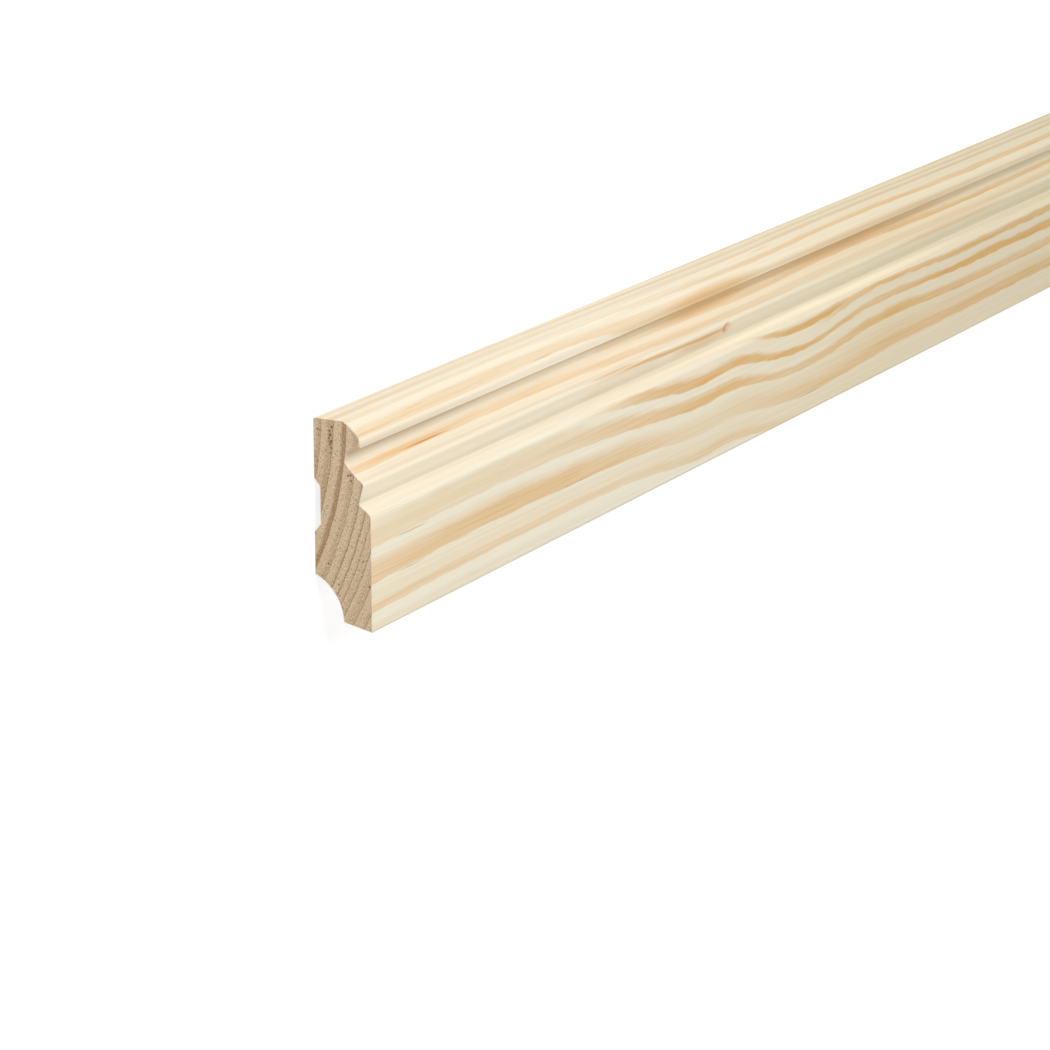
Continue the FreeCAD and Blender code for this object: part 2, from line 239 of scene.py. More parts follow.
def add_node(tree, kind, inputs=None, points=(), **settings):
    """Adds a node with its settings and links. An input is a value, a socket, or a node, which
    stands for its first output in use. points are the points of a curve."""
    node = tree.nodes.new(kind)
    for name, value in settings.items():
        setattr(node, name, value)
    for name, value in (inputs or {}).items():
        named = [s for s in node.inputs if s.enabled and s.name == name]
        socket = named[0] if named else node.inputs[name]
        if isinstance(value, bpy.types.Node):
            value = next(s for s in value.outputs if s.enabled)
        if isinstance(value, bpy.types.NodeSocket):
            tree.links.new(value, socket)
        else:
            socket.default_value = value
    if points:
        node.mapping.use_clip = False
        node.mapping.extend = "HORIZONTAL"
        curve = node.mapping.curves[0].points
        curve[0].location, curve[-1].location = points[0], points[-1]
        for point in points[1:-1]:
            curve.new(*point)
        node.mapping.update()
    return node


rings = bpy.data.node_groups.new("growth_rings", "ShaderNodeTree")
rings.interface.new_socket("Millimetres", in_out="OUTPUT", socket_type="NodeSocketVector")
for name in ("Band", "End band", "Winter line", "Warmth"):
    rings.interface.new_socket(name, in_out="OUTPUT", socket_type="NodeSocketFloat")
coordinates = add_node(rings, "ShaderNodeTexCoord")
millimetres = add_node(
    rings, "ShaderNodeVectorMath",
    {0: coordinates.outputs["Object"], 1: (1 / MM,) * 3, 2: (-low.x / MM, -FOOT_Y / MM, -low.z / MM)},
    operation="MULTIPLY_ADD",
)
along = add_node(rings, "ShaderNodeSeparateXYZ", {0: millimetres}).outputs["X"]
noises = []
for grain, detail in (SLOW_NOISE, RIPPLE_NOISE, SOFT_NOISE, FEATHER_NOISE):
    counted = add_node(
        rings, "ShaderNodeVectorMath", {0: millimetres, 1: [1 / size for size in grain]},
        operation="MULTIPLY",
    )
    noises.append(
        add_node(rings, "ShaderNodeTexNoise", {"Vector": counted, "Scale": 1.0, "Detail": detail})
    )
slow, ripple, soft, feather = noises

# The distance from the pith, with the slow drift
far_share = add_node(
    rings, "ShaderNodeMapRange", {"Value": along, "From Min": FAR_FROM, "From Max": FAR_FULL},
)
swing = add_node(
    rings, "ShaderNodeMath", {0: far_share, 1: FAR_SWING, 2: NEAR_SWING}, operation="MULTIPLY_ADD",
)
drift = add_node(
    rings, "ShaderNodeVectorMath", {0: slow.outputs["Color"], 1: (0, 0.5, 0.5)}, operation="SUBTRACT",
)
drift = add_node(rings, "ShaderNodeVectorMath", {0: drift, "Scale": swing}, operation="SCALE")
from_pith = add_node(rings, "ShaderNodeVectorMath", {0: millimetres, 1: PITH}, operation="SUBTRACT")
drifted = add_node(rings, "ShaderNodeVectorMath", {0: from_pith, 1: drift}, operation="ADD")
across = add_node(rings, "ShaderNodeVectorMath", {0: drifted, 1: (0, 1, 1)}, operation="MULTIPLY")
radius = add_node(rings, "ShaderNodeVectorMath", {0: across}, operation="LENGTH").outputs["Value"]

# The distance from the pith that each place would have in a straight stem
wander = add_node(rings, "ShaderNodeFloatCurve", {"Value": along}, points=WANDER_CROWN)
for points, (near, far) in ((WANDER_FASCIA, TO_FASCIA), (WANDER_FOOT, TO_FOOT)):
    next_wander = add_node(rings, "ShaderNodeFloatCurve", {"Value": along}, points=points)
    share = add_node(rings, "ShaderNodeMapRange", {"Value": radius, "From Min": near, "From Max": far})
    wander = add_node(rings, "ShaderNodeMix", {"Factor": share, "A": wander, "B": next_wander})
settled = add_node(rings, "ShaderNodeMath", {0: radius, 1: wander}, operation="SUBTRACT")
ripple = add_node(
    rings, "ShaderNodeMath", {0: ripple, 1: RIPPLE, 2: -RIPPLE / 2}, operation="MULTIPLY_ADD",
)
age = add_node(rings, "ShaderNodeMath", {0: settled, 1: ripple}, operation="ADD")
soft = add_node(
    rings, "ShaderNodeMath", {0: soft, 1: SOFTNESS, 2: -SOFTNESS / 2}, operation="MULTIPLY_ADD",
)
start_age = add_node(rings, "ShaderNodeMath", {0: age, 1: soft}, operation="ADD")

# The rings, added up
band, end_band, winter_line = 0.0, 0.0, 0.0
for edge, end_tone, end_line, places in RINGS:
    widths = [(x, wide) for x, wide, dark in places]
    tones = [(x, dark) for x, wide, dark in places]
    width = add_node(rings, "ShaderNodeFloatCurve", {"Value": along}, points=widths)
    tone = add_node(rings, "ShaderNodeFloatCurve", {"Value": along}, points=tones)
    short = add_node(rings, "ShaderNodeMath", {0: edge, 1: start_age}, operation="SUBTRACT")
    share = add_node(rings, "ShaderNodeMath", {0: short, 1: width}, operation="DIVIDE")
    rise = add_node(
        rings, "ShaderNodeMapRange", {"Value": share, "From Min": LATE_FROM, "From Max": LATE_FULL},
        interpolation_type="SMOOTHSTEP",
    )
    fall = add_node(
        rings, "ShaderNodeMapRange",
        {"Value": age, "From Min": edge + STOP_PAST, "From Max": edge - STOP_SHORT},
        interpolation_type="SMOOTHSTEP",
    )
    near = add_node(
        rings, "ShaderNodeMapRange",
        {"Value": age, "From Min": edge - LINE_FROM, "From Max": edge - LINE_FULL},
        interpolation_type="SMOOTHSTEP",
    )
    ring = add_node(rings, "ShaderNodeMath", {0: rise, 1: fall}, operation="MULTIPLY")
    thin = add_node(rings, "ShaderNodeMath", {0: near, 1: fall}, operation="MULTIPLY")
    band = add_node(rings, "ShaderNodeMath", {0: ring, 1: tone, 2: band}, operation="MULTIPLY_ADD")
    winter_line = add_node(
        rings, "ShaderNodeMath", {0: thin, 1: tone, 2: winter_line}, operation="MULTIPLY_ADD",
    )
    for layer, strength in ((ring, end_tone), (thin, end_line)):
        end_band = add_node(
            rings, "ShaderNodeMath", {0: layer, 1: strength, 2: end_band}, operation="MULTIPLY_ADD",
        )
feather = add_node(
    rings, "ShaderNodeMapRange",
    {
        "Value": feather, "From Min": NOISE_LOW, "From Max": NOISE_HIGH,
        "To Min": 1 - FEATHERING, "To Max": 1 + FEATHERING,
    },
)
band = add_node(rings, "ShaderNodeMath", {0: band, 1: feather}, operation="MULTIPLY")
warmth = add_node(
    rings, "ShaderNodeMapRange", {"Value": age, "From Min": COOL_OUTSIDE, "From Max": WARM_INSIDE},
)
add_node(
    rings, "NodeGroupOutput",
    {
        "Millimetres": millimetres, "Band": band, "End band": end_band, "Winter line": winter_line,
        "Warmth": warmth,
    },
)

# The planed faces
# Bare pine, planed and moulded by sharp cutters: a matt, silky surface whose fibres run along
# the board, cream in the earlywood and honey in the latewood, with a few resin streaks.
# The last of these is paler wood with painted light, used only to lighten the shoulder
EARLY_COOL, EARLY_WARM, EARLY_DEEP, PALE_AND_LIT = "#EAE4CE", "#F0E3CA", "#E6DABC", "#FAEFD2"
LATE_TAN, LATE_HONEY = "#DEB378", "#DAAE64"
WINTER, RESIN, RESIN_CORE, GOLD = "#AD8A57", "#E3AB58", "#C5813A", "#DDB071"
# The last two colours are painted shade: a grey for the foot's arris and the neck, and a dull tan for the
# scotia near the end
KNOT_RIM, KNOT_HEART, SHADE_GREY, SCOTIA_SHADE = "#C4904F", "#F0CBA2", "#BDB29B", "#BBA682"
# Resin streaks, gold patches, painted shade in the scotia near the end, painted light and paler
# wood on the shoulder, and a pin knot: centre (along, height, depth), half lengths, colour, strength
MARKS = [
    # Painted shade: darkens the scotia and the land under the crown's overhang near the end
    ((0, 50, 12.2), (130, 4.5, 4.5), SCOTIA_SHADE, 0.7),
    ((20, 54.4, 14.2), (130, 1.0, 1.0), GOLD, 0.45),
    ((28, 44.8, 11.7), (38, 1.2, 1.2), RESIN, 0.45),
    ((39, 44.3, 12.1), (17, 0.34, 0.34), RESIN_CORE, 0.9),
    ((50, 45.2, 11.2), (120, 1.5, 1.5), GOLD, 0.08),
    ((113, 34.6, 16.0), (8, 0.3, 0.3), WINTER, 0.5),
    ((103, 54.4, 14.0), (9, 0.25, 0.25), WINTER, 0.45),
    ((32, 55.7, 12.8), (9, 0.25, 0.25), RESIN, 0.5),
    ((21, 23.9, 18.0), (12, 0.26, 0.26), WINTER, 0.6),
    ((21, 13.9, 18.0), (10, 0.2, 0.2), WINTER, 0.6),
    ((115, 14.5, 18.0), (22, 0.2, 0.2), WINTER, 0.6),
    ((280, 6.2, 18.0), (14, 0.25, 0.25), WINTER, 0.7),
    ((205, 26.8, 18.0), (14, 0.9, 0.9), RESIN, 0.5),
    ((210, 20.6, 18.0), (10, 0.8, 0.8), RESIN, 0.35),
    ((227, 27.6, 18.0), (8, 0.8, 0.8), RESIN, 0.5),
    ((256, 57.7, 10.3), (12, 0.4, 0.4), RESIN, 0.5),
    ((213, 52.5, 14.2), (46, 3.0, 2.5), GOLD, 0.7),
    ((218, 47.2, 10.5), (50, 2.4, 2.0), GOLD, 0.8),
    ((325, 47.3, 10.1), (120, 2.0, 1.3), GOLD, 0.65),
    ((350, 52.2, 14.7), (130, 1.8, 1.0), GOLD, 0.3),
    ((240, 49.6, 11.0), (320, 2.6, 2.6), GOLD, 0.55),
    ((400, 40.8, 15.6), (70, 1.6, 1.0), GOLD, 0.4),
    # Paler wood with painted light: lightens the shoulder far along, where it faces the lamps
    ((300, 34.6, 16.3), (170, 2.4, 2.0), PALE_AND_LIT, 0.8),
    ((146, 41.3, 15.4), (24, 0.6, 0.6), GOLD, 0.75),
    ((166, 40.4, 15.6), (24, 0.8, 0.8), GOLD, 0.8),
    ((186, 39.7, 15.5), (24, 0.9, 0.9), GOLD, 0.85),
    ((208, 39.3, 15.4), (22, 1.0, 1.0), GOLD, 0.9),
    ((205, 38.0, 15.0), (26, 2.8, 2.8), GOLD, 0.45),
    ((221.8, 39.4, 15.4), (3.4, 2.2, 2.2), KNOT_RIM, 0.85),
    ((223.1, 39.4, 15.4), (2.4, 1.5, 1.5), KNOT_HEART, 1.0),
]
# The share of its half lengths within which a mark is at full strength
MARK_CORE = 0.3
# Painted shade along the foot's arris, which is turned from the light, and in the recessed neck:
# height, depth, reach and strength, and how near to that line it is at full strength
PAINTED_SHADE = [(0, 18, 1.1, 0.3), (36.2, 14.3, 2.6, 0.25)]
SHADE_CORE = 0.4
# Each noise has the size of its grains in millimetres, along the board, up it and into it, its
# detail and its roughness. A real fibre is about 3 mm long and 0.03 mm thick, too fine to show, so
# fibres are drawn as coarser bundles.
TINT_NOISE, DASH_NOISE = ((70, 4, 4), 3.0, 0.5), ((26, 2.5, 2.5), 2.0, 0.5)
FIBRE_NOISE, STREAK_NOISE = ((16, 0.5, 0.5), 4.0, 0.6), ((180, 0.9, 0.9), 2.0, 0.5)
# How much warmer earlywood is inside than outside, and the tints of tan and of honey latewood
WARMER = 0.7
TAN_TINT, HONEY_TINT = 0.6, 0.4
# Earlywood deepens between these places along the board
PALE_TO, DEEP_FROM = 140.0, 340.0
# Winter lines show in dashes where their noise is high: faint up to one place along the board,
# and at full strength from another
DASH_FROM, DASH_FULL, DASH_STRENGTH = 0.55, 0.8, 0.8
FAINT_TO, STRONG_FROM, FAINT = 360.0, 460.0, 0.25
# How much fibres and streaks lighten and darken the wood
FIBRE_SHADE = 0.03
STREAK_LOW, STREAK_HIGH = 0.3, 0.7
STREAK_LIGHT, STREAK_DARK = 1.025, 0.955
PLANED_ROUGHNESS = 0.55
FIBRE_RELIEF, FIBRE_BUMP = 0.03 * MM, 0.25


def linear(hex_colour):
    """An sRGB hex colour as linear red, green, blue and alpha."""
    parts = [int(hex_colour[i:i + 2], 16) / 255 for i in (1, 3, 5)]
    return [c / 12.92 if c <= 0.04045 else ((c + 0.055) / 1.055) ** 2.4 for c in parts] + [1.0]


pine = bpy.data.materials.new("planed_pine")
pine.use_nodes = True
wood = pine.node_tree
surface = wood.nodes["Principled BSDF"]
grown = add_node(wood, "ShaderNodeGroup", node_tree=rings)
place = grown.outputs["Millimetres"]
along = add_node(wood, "ShaderNodeSeparateXYZ", {0: place}).outputs["X"]
noises = []
for grain, detail, roughness in (TINT_NOISE, DASH_NOISE, FIBRE_NOISE, STREAK_NOISE):
    counted = add_node(
        wood, "ShaderNodeVectorMath", {0: place, 1: [1 / size for size in grain]}, operation="MULTIPLY",
    )
    noises.append(add_node(
        wood, "ShaderNodeTexNoise",
        {"Vector": counted, "Scale": 1.0, "Detail": detail, "Roughness": roughness},
    ))
tint, dashes, fibre, streaks = noises

# Earlywood and latewood
warm = add_node(
    wood, "ShaderNodeMath", {0: grown.outputs["Warmth"], 1: WARMER, 2: -WARMER / 2},
    operation="MULTIPLY_ADD",
)
warm = add_node(wood, "ShaderNodeMath", {0: tint, 1: warm}, operation="ADD", use_clamp=True)
early = add_node(
    wood, "ShaderNodeMix", {"Factor": warm, "A": linear(EARLY_COOL), "B": linear(EARLY_WARM)},
    data_type="RGBA",
)
deepens = add_node(wood, "ShaderNodeMapRange", {"Value": along, "From Min": PALE_TO, "From Max": DEEP_FROM})
early = add_node(
    wood, "ShaderNodeMix", {"Factor": deepens, "A": early, "B": linear(EARLY_DEEP)}, data_type="RGBA",
)
honey = add_node(
    wood, "ShaderNodeMapRange", {"Value": tint, "From Min": TAN_TINT, "From Max": HONEY_TINT},
)
late = add_node(
    wood, "ShaderNodeMix", {"Factor": honey, "A": linear(LATE_TAN), "B": linear(LATE_HONEY)},
    data_type="RGBA",
)
grained = add_node(
    wood, "ShaderNodeMix", {"Factor": grown.outputs["Band"], "A": early, "B": late}, data_type="RGBA",
)

# Winter lines, marks, and painted shade on the foot's arris and in the neck
dashes = add_node(
    wood, "ShaderNodeMapRange",
    {"Value": dashes, "From Min": DASH_FROM, "From Max": DASH_FULL, "To Max": DASH_STRENGTH},
)
beyond = add_node(
    wood, "ShaderNodeMapRange",
    {"Value": along, "From Min": FAINT_TO, "From Max": STRONG_FROM, "To Min": FAINT},
)
dashes = add_node(wood, "ShaderNodeMath", {0: dashes, 1: beyond}, operation="MULTIPLY")
winter = add_node(
    wood, "ShaderNodeMath", {0: dashes, 1: grown.outputs["Winter line"]}, operation="MULTIPLY",
)
toned = add_node(
    wood, "ShaderNodeMix", {"Factor": winter, "A": grained, "B": linear(WINTER)}, data_type="RGBA",
)
for centre, halves, shade, strength in MARKS:
    offset = add_node(wood, "ShaderNodeVectorMath", {0: place, 1: centre}, operation="SUBTRACT")
    scaled = add_node(wood, "ShaderNodeVectorMath", {0: offset, 1: halves}, operation="DIVIDE")
    away = add_node(wood, "ShaderNodeVectorMath", {0: scaled}, operation="LENGTH").outputs["Value"]
    mark = add_node(
        wood, "ShaderNodeMapRange",
        {"Value": away, "From Min": 1.0, "From Max": MARK_CORE, "To Max": strength},
        interpolation_type="SMOOTHSTEP",
    )
    toned = add_node(
        wood, "ShaderNodeMix", {"Factor": mark, "A": toned, "B": linear(shade)}, data_type="RGBA",
    )
flattened = add_node(wood, "ShaderNodeVectorMath", {0: place, 1: (0, 1, 1)}, operation="MULTIPLY")
# Painted shade: greys the foot's arris and the neck, where less light falls
for height, depth, reach, strength in PAINTED_SHADE:
    away = add_node(
        wood, "ShaderNodeVectorMath", {0: flattened, 1: (0, height, depth)}, operation="DISTANCE",
    ).outputs["Value"]
    shade_mask = add_node(
        wood, "ShaderNodeMapRange",
        {"Value": away, "From Min": reach, "From Max": SHADE_CORE, "To Max": strength},
        interpolation_type="SMOOTHSTEP",
    )
    toned = add_node(
        wood, "ShaderNodeMix", {"Factor": shade_mask, "A": toned, "B": linear(SHADE_GREY)}, data_type="RGBA",
    )

# Fibres and streaks over it all
shade = add_node(
    wood, "ShaderNodeMapRange",
    {
        "Value": fibre, "From Min": NOISE_LOW, "From Max": NOISE_HIGH,
        "To Min": 1 - FIBRE_SHADE, "To Max": 1 + FIBRE_SHADE,
    },
)
streaks = add_node(
    wood, "ShaderNodeMapRange",
    {
        "Value": streaks, "From Min": STREAK_LOW, "From Max": STREAK_HIGH,
        "To Min": STREAK_LIGHT, "To Max": STREAK_DARK,
    },
)
shade = add_node(wood, "ShaderNodeMath", {0: shade, 1: streaks}, operation="MULTIPLY")
colour = add_node(wood, "ShaderNodeVectorMath", {0: toned, 1: shade}, operation="MULTIPLY")
wood.links.new(colour.outputs[0], surface.inputs["Base Color"])
surface.inputs["Roughness"].default_value = PLANED_ROUGHNESS
bump = add_node(
    wood, "ShaderNodeBump", {"Strength": FIBRE_BUMP, "Distance": FIBRE_RELIEF, "Height": fibre},
)
wood.links.new(bump.outputs[0], surface.inputs["Normal"])

# The sawn ends
# The same pine, cut across by a fine crosscut saw: open fibre ends drink the light, so it is darker
# and duller than the faces, with the rings brown, specks of resin and a fuzzy, uneven surface.
SAWN_EARLY, SAWN_LATE, SAWN_SPECK = "#D7BF9E", "#AB8C66", "#70432B"
# The larger resin spots: height, depth and radius
RESIN_SPOTS = [
    (55.0, 1.5, 0.3), (54.8, 2.2, 0.25), (53.8, 5.4, 0.5), (52.0, 5.7, 0.5), (51.2, 5.3, 0.4),
    (56.0, 5.9, 0.45), (54.9, 5.2, 0.4), (50.2, 5.6, 0.35), (52.9, 5.0, 0.4), (48.6, 5.3, 0.2),
    (53.2, 1.8, 0.2), (36.5, 13.0, 0.2), (26.0, 7.2, 0.2), (30.2, 6.6, 0.2), (22.3, 10.1, 0.2),
    (34.0, 4.4, 0.2), (8.0, 13.6, 0.2), (15.8, 12.2, 0.2), (43.2, 10.8, 0.35), (43.3, 11.6, 0.35),
    (41.9, 11.8, 0.3), (17.8, 4.4, 0.3), (19.8, 15.3, 0.3), (12.3, 7.5, 0.3), (9.1, 7.8, 0.25),
    (6.2, 8.5, 0.25), (13.0, 17.2, 0.35),
]
# A spot fades out from the core to the rim, in shares of its radius
SPOT_RIM, SPOT_CORE, SPOT_STRENGTH = 1.3, 0.5, 0.8
# The small specks lie in cells, so many to a millimetre: the share of cells with next to none, the
# least and greatest radius in cells, and the share of the radius at full strength
SPECK_CELLS, SPECKLESS = 1.4, 0.5
SPECK_LEAST, SPECK_GREATEST = 0.01, 0.36
SPECK_CORE, SPECK_STRENGTH = 0.4, 0.65
# The torn fibre ends are too fine to show, so they are drawn as coarser grit. Its noise is the same
# all along the board, because it lies in the cut.
GRIT_GRAIN = (math.inf, 0.6, 0.35)
GRIT_DETAIL, GRIT_VARIETY = 3.0, 0.7
GRIT_LOW, GRIT_HIGH = 0.3, 0.7
# How much the grit frays the rings, and lightens and darkens the wood
RING_FRAY, GRIT_SHADE = 0.3, 0.34
SAWN_ROUGHNESS = 0.85
GRIT_RELIEF, GRIT_BUMP = 0.15 * MM, 0.5

end_grain = bpy.data.materials.new("sawn_pine_end")
end_grain.use_nodes = True
sawn = end_grain.node_tree
surface = sawn.nodes["Principled BSDF"]
grown = add_node(sawn, "ShaderNodeGroup", node_tree=rings)
place = grown.outputs["Millimetres"]
counted = add_node(
    sawn, "ShaderNodeVectorMath", {0: place, 1: [1 / size for size in GRIT_GRAIN]}, operation="MULTIPLY",
)
grit = add_node(
    sawn, "ShaderNodeTexNoise",
    {"Vector": counted, "Scale": 1.0, "Detail": GRIT_DETAIL, "Roughness": GRIT_VARIETY},
)
frayed = add_node(
    sawn, "ShaderNodeMapRange",
    {
        "Value": grit, "From Min": GRIT_LOW, "From Max": GRIT_HIGH,
        "To Min": 1 + RING_FRAY, "To Max": 1 - RING_FRAY,
    },
)
ringed = add_node(
    sawn, "ShaderNodeMath", {0: grown.outputs["End band"], 1: frayed}, operation="MULTIPLY",
    use_clamp=True,
)
banded = add_node(
    sawn, "ShaderNodeMix", {"Factor": ringed, "A": linear(SAWN_EARLY), "B": linear(SAWN_LATE)},
    data_type="RGBA",
)

# Resin, as small specks and larger spots
cells = add_node(sawn, "ShaderNodeTexVoronoi", {"Vector": place, "Scale": SPECK_CELLS})
chosen = add_node(sawn, "ShaderNodeSeparateColor", {0: cells.outputs["Color"]}).outputs["Red"]
reach = add_node(
    sawn, "ShaderNodeMapRange",
    {
        "Value": chosen, "From Min": SPECKLESS, "From Max": 1.0,
        "To Min": SPECK_LEAST, "To Max": SPECK_GREATEST,
    },
)
speck = add_node(sawn, "ShaderNodeMath", {0: cells.outputs["Distance"], 1: reach}, operation="DIVIDE")
speck = add_node(
    sawn, "ShaderNodeMapRange",
    {"Value": speck, "From Min": 1.0, "From Max": SPECK_CORE, "To Max": SPECK_STRENGTH},
)
speckled = add_node(
    sawn, "ShaderNodeMix", {"Factor": speck, "A": banded, "B": linear(SAWN_SPECK)}, data_type="RGBA",
)
flattened = add_node(sawn, "ShaderNodeVectorMath", {0: place, 1: (0, 1, 1)}, operation="MULTIPLY")
for height, depth, radius in RESIN_SPOTS:
    away = add_node(
        sawn, "ShaderNodeVectorMath", {0: flattened, 1: (0, height, depth)}, operation="DISTANCE",
    ).outputs["Value"]
    spot = add_node(
        sawn, "ShaderNodeMapRange",
        {
            "Value": away, "From Min": radius * SPOT_RIM, "From Max": radius * SPOT_CORE,
            "To Max": SPOT_STRENGTH,
        },
    )
    speckled = add_node(
        sawn, "ShaderNodeMix", {"Factor": spot, "A": speckled, "B": linear(SAWN_SPECK)},
        data_type="RGBA",
    )

# Grit over it all
shade = add_node(
    sawn, "ShaderNodeMapRange",
    {
        "Value": grit, "From Min": GRIT_LOW, "From Max": GRIT_HIGH,
        "To Min": 1 - GRIT_SHADE, "To Max": 1 + GRIT_SHADE,
    },
)
colour = add_node(sawn, "ShaderNodeVectorMath", {0: speckled, 1: shade}, operation="MULTIPLY")
sawn.links.new(colour.outputs[0], surface.inputs["Base Color"])
surface.inputs["Roughness"].default_value = SAWN_ROUGHNESS
bump = add_node(
    sawn, "ShaderNodeBump", {"Strength": GRIT_BUMP, "Distance": GRIT_RELIEF, "Height": grit},
)
sawn.links.new(bump.outputs[0], surface.inputs["Normal"])

# The board
# The section is swept along the length and the sharp arris of each sawn end is eased by handling,
# a little unevenly, because the saw leaves short fibres standing there.
END_EASE = 0.3 * MM
# Steps in each eased end, and along the whole length
END_STEPS, LENGTH_STEPS = 4, 60
# The whole swing of the ease, as a share of it, and the grains of its noise to a millimetre
FRAY, FRAYS_PER_MM = 0.6, 0.9
# The top edge keeps only this share of the ease. Inward points down the board there, by the first
# of these or more, and from the second on the ease is whole.
TOP_EASE = 0.2
TOP_FULL, TOP_NONE = -0.99, -0.95
# A face that looks along the board by more than this is a sawn end
END_FACING = 0.99
# An edge sharper than this is shaded crisp
SHARP = math.radians(30)


def line_mesh(name, points, closed=False):
    """A line of points as a mesh object, for the sweep to read."""
    edges = [(i, i + 1) for i in range(len(points) - 1)] + ([(len(points) - 1, 0)] if closed else [])
    mesh = bpy.data.meshes.new(name)
    mesh.from_pydata(points, edges, [])
    line = bpy.data.objects.new(name, mesh)
    bpy.context.scene.collection.objects.link(line)
    return line


# The sweep turns a section by half a turn, so the section is drawn turned the other way.
outline = [(-(FOOT_Y + p.x * MM), -(low.z + p.y * MM), 0) for p in supported(section_outline())]
section = line_mesh("board_section", outline, closed=True)
ease = [END_EASE * (1 - math.cos(math.pi / 2 * i / END_STEPS)) for i in range(END_STEPS + 1)]
middle = [low.x + (high.x - low.x) * i / LENGTH_STEPS for i in range(1, LENGTH_STEPS)]
stations = [low.x + reach for reach in ease] + middle + [high.x - reach for reach in reversed(ease)]
blank = line_mesh("board_line", [(x, 0, 0) for x in stations])

sweep = bpy.data.node_groups.new("moulded_length", "GeometryNodeTree")
sweep.interface.new_socket("Board", in_out="OUTPUT", socket_type="NodeSocketGeometry")
for name, kind in (
    ("Line", "NodeSocketGeometry"), ("Section", "NodeSocketObject"), ("Low end", "NodeSocketFloat"),
    ("High end", "NodeSocketFloat"), ("End ease", "NodeSocketFloat"), ("Fray", "NodeSocketFloat"),
    ("Sharp angle", "NodeSocketFloat"), ("Planed", "NodeSocketMaterial"), ("Sawn", "NodeSocketMaterial"),
):
    sweep.interface.new_socket(name, in_out="INPUT", socket_type=kind)
given = add_node(sweep, "NodeGroupInput").outputs
drawn = add_node(sweep, "GeometryNodeObjectInfo", {"Object": given["Section"]})
profile = add_node(sweep, "GeometryNodeMeshToCurve", {"Mesh": drawn.outputs["Geometry"]})
path = add_node(sweep, "GeometryNodeMeshToCurve", {"Mesh": given["Line"]})
swept = add_node(
    sweep, "GeometryNodeCurveToMesh", {"Curve": path, "Profile Curve": profile, "Fill Caps": True},
)

# How much of the ease a point gets: a quarter round that ends at the cut
spot = add_node(sweep, "GeometryNodeInputPosition")
x = add_node(sweep, "ShaderNodeSeparateXYZ", {0: spot}).outputs["X"]
from_low = add_node(sweep, "ShaderNodeMath", {0: x, 1: given["Low end"]}, operation="SUBTRACT")
from_high = add_node(sweep, "ShaderNodeMath", {0: given["High end"], 1: x}, operation="SUBTRACT")
nearest = add_node(sweep, "ShaderNodeMath", {0: from_low, 1: from_high}, operation="MINIMUM")
reach = add_node(
    sweep, "ShaderNodeMath", {0: nearest, 1: given["End ease"]}, operation="DIVIDE", use_clamp=True,
)
rest = add_node(sweep, "ShaderNodeMath", {0: 1.0, 1: reach}, operation="SUBTRACT")
square = add_node(sweep, "ShaderNodeMath", {0: rest, 1: 2.0}, operation="POWER")
flat = add_node(sweep, "ShaderNodeMath", {0: 1.0, 1: square}, operation="SUBTRACT", use_clamp=True)
root = add_node(sweep, "ShaderNodeMath", {0: flat}, operation="SQRT")
inset = add_node(sweep, "ShaderNodeMath", {0: 1.0, 1: root}, operation="SUBTRACT")
fibres = add_node(
    sweep, "ShaderNodeTexNoise", {"Vector": spot, "Scale": FRAYS_PER_MM / MM, "Detail": 2.0},
)
spread = add_node(sweep, "ShaderNodeMath", {0: fibres, 1: -0.5}, operation="ADD")
uneven = add_node(
    sweep, "ShaderNodeMath", {0: spread, 1: given["Fray"], 2: 1.0}, operation="MULTIPLY_ADD",
)
worn = add_node(sweep, "ShaderNodeMath", {0: inset, 1: uneven}, operation="MULTIPLY")

# Which way is inward, and the shift that way
facing = add_node(sweep, "GeometryNodeInputNormal")
level = add_node(sweep, "ShaderNodeVectorMath", {0: facing, 1: (0, -1, -1)}, operation="MULTIPLY")
inward = add_node(sweep, "ShaderNodeVectorMath", {0: level}, operation="NORMALIZE")
downward = add_node(sweep, "ShaderNodeSeparateXYZ", {0: inward}).outputs["Y"]
kept = add_node(
    sweep, "ShaderNodeMapRange",
    {"Value": downward, "From Min": TOP_FULL, "From Max": TOP_NONE, "To Min": TOP_EASE},
)
worn = add_node(sweep, "ShaderNodeMath", {0: worn, 1: kept}, operation="MULTIPLY")
depth = add_node(sweep, "ShaderNodeMath", {0: worn, 1: given["End ease"]}, operation="MULTIPLY")
shift = add_node(sweep, "ShaderNodeVectorMath", {0: inward, "Scale": depth}, operation="SCALE")
eased = add_node(sweep, "GeometryNodeSetPosition", {"Geometry": swept, "Offset": shift})

# Smooth curves, crisp arrises and flat sawn ends, each with its material
lengthwise = add_node(sweep, "ShaderNodeSeparateXYZ", {0: facing}).outputs["X"]
steep = add_node(sweep, "ShaderNodeMath", {0: lengthwise}, operation="ABSOLUTE")
is_end = add_node(sweep, "ShaderNodeMath", {0: steep, 1: END_FACING}, operation="GREATER_THAN")
angle = add_node(sweep, "GeometryNodeInputMeshEdgeAngle").outputs["Unsigned Angle"]
is_sharp = add_node(
    sweep, "ShaderNodeMath", {0: angle, 1: given["Sharp angle"]}, operation="GREATER_THAN",
)
shaded = add_node(sweep, "GeometryNodeSetShadeSmooth", {"Geometry": eased}, domain="FACE")
for crisp, domain in ((is_sharp, "EDGE"), (is_end, "FACE")):
    shaded = add_node(
        sweep, "GeometryNodeSetShadeSmooth",
        {"Geometry": shaded, "Selection": crisp, "Shade Smooth": False}, domain=domain,
    )
real = add_node(sweep, "GeometryNodeRealizeInstances", {"Geometry": shaded})
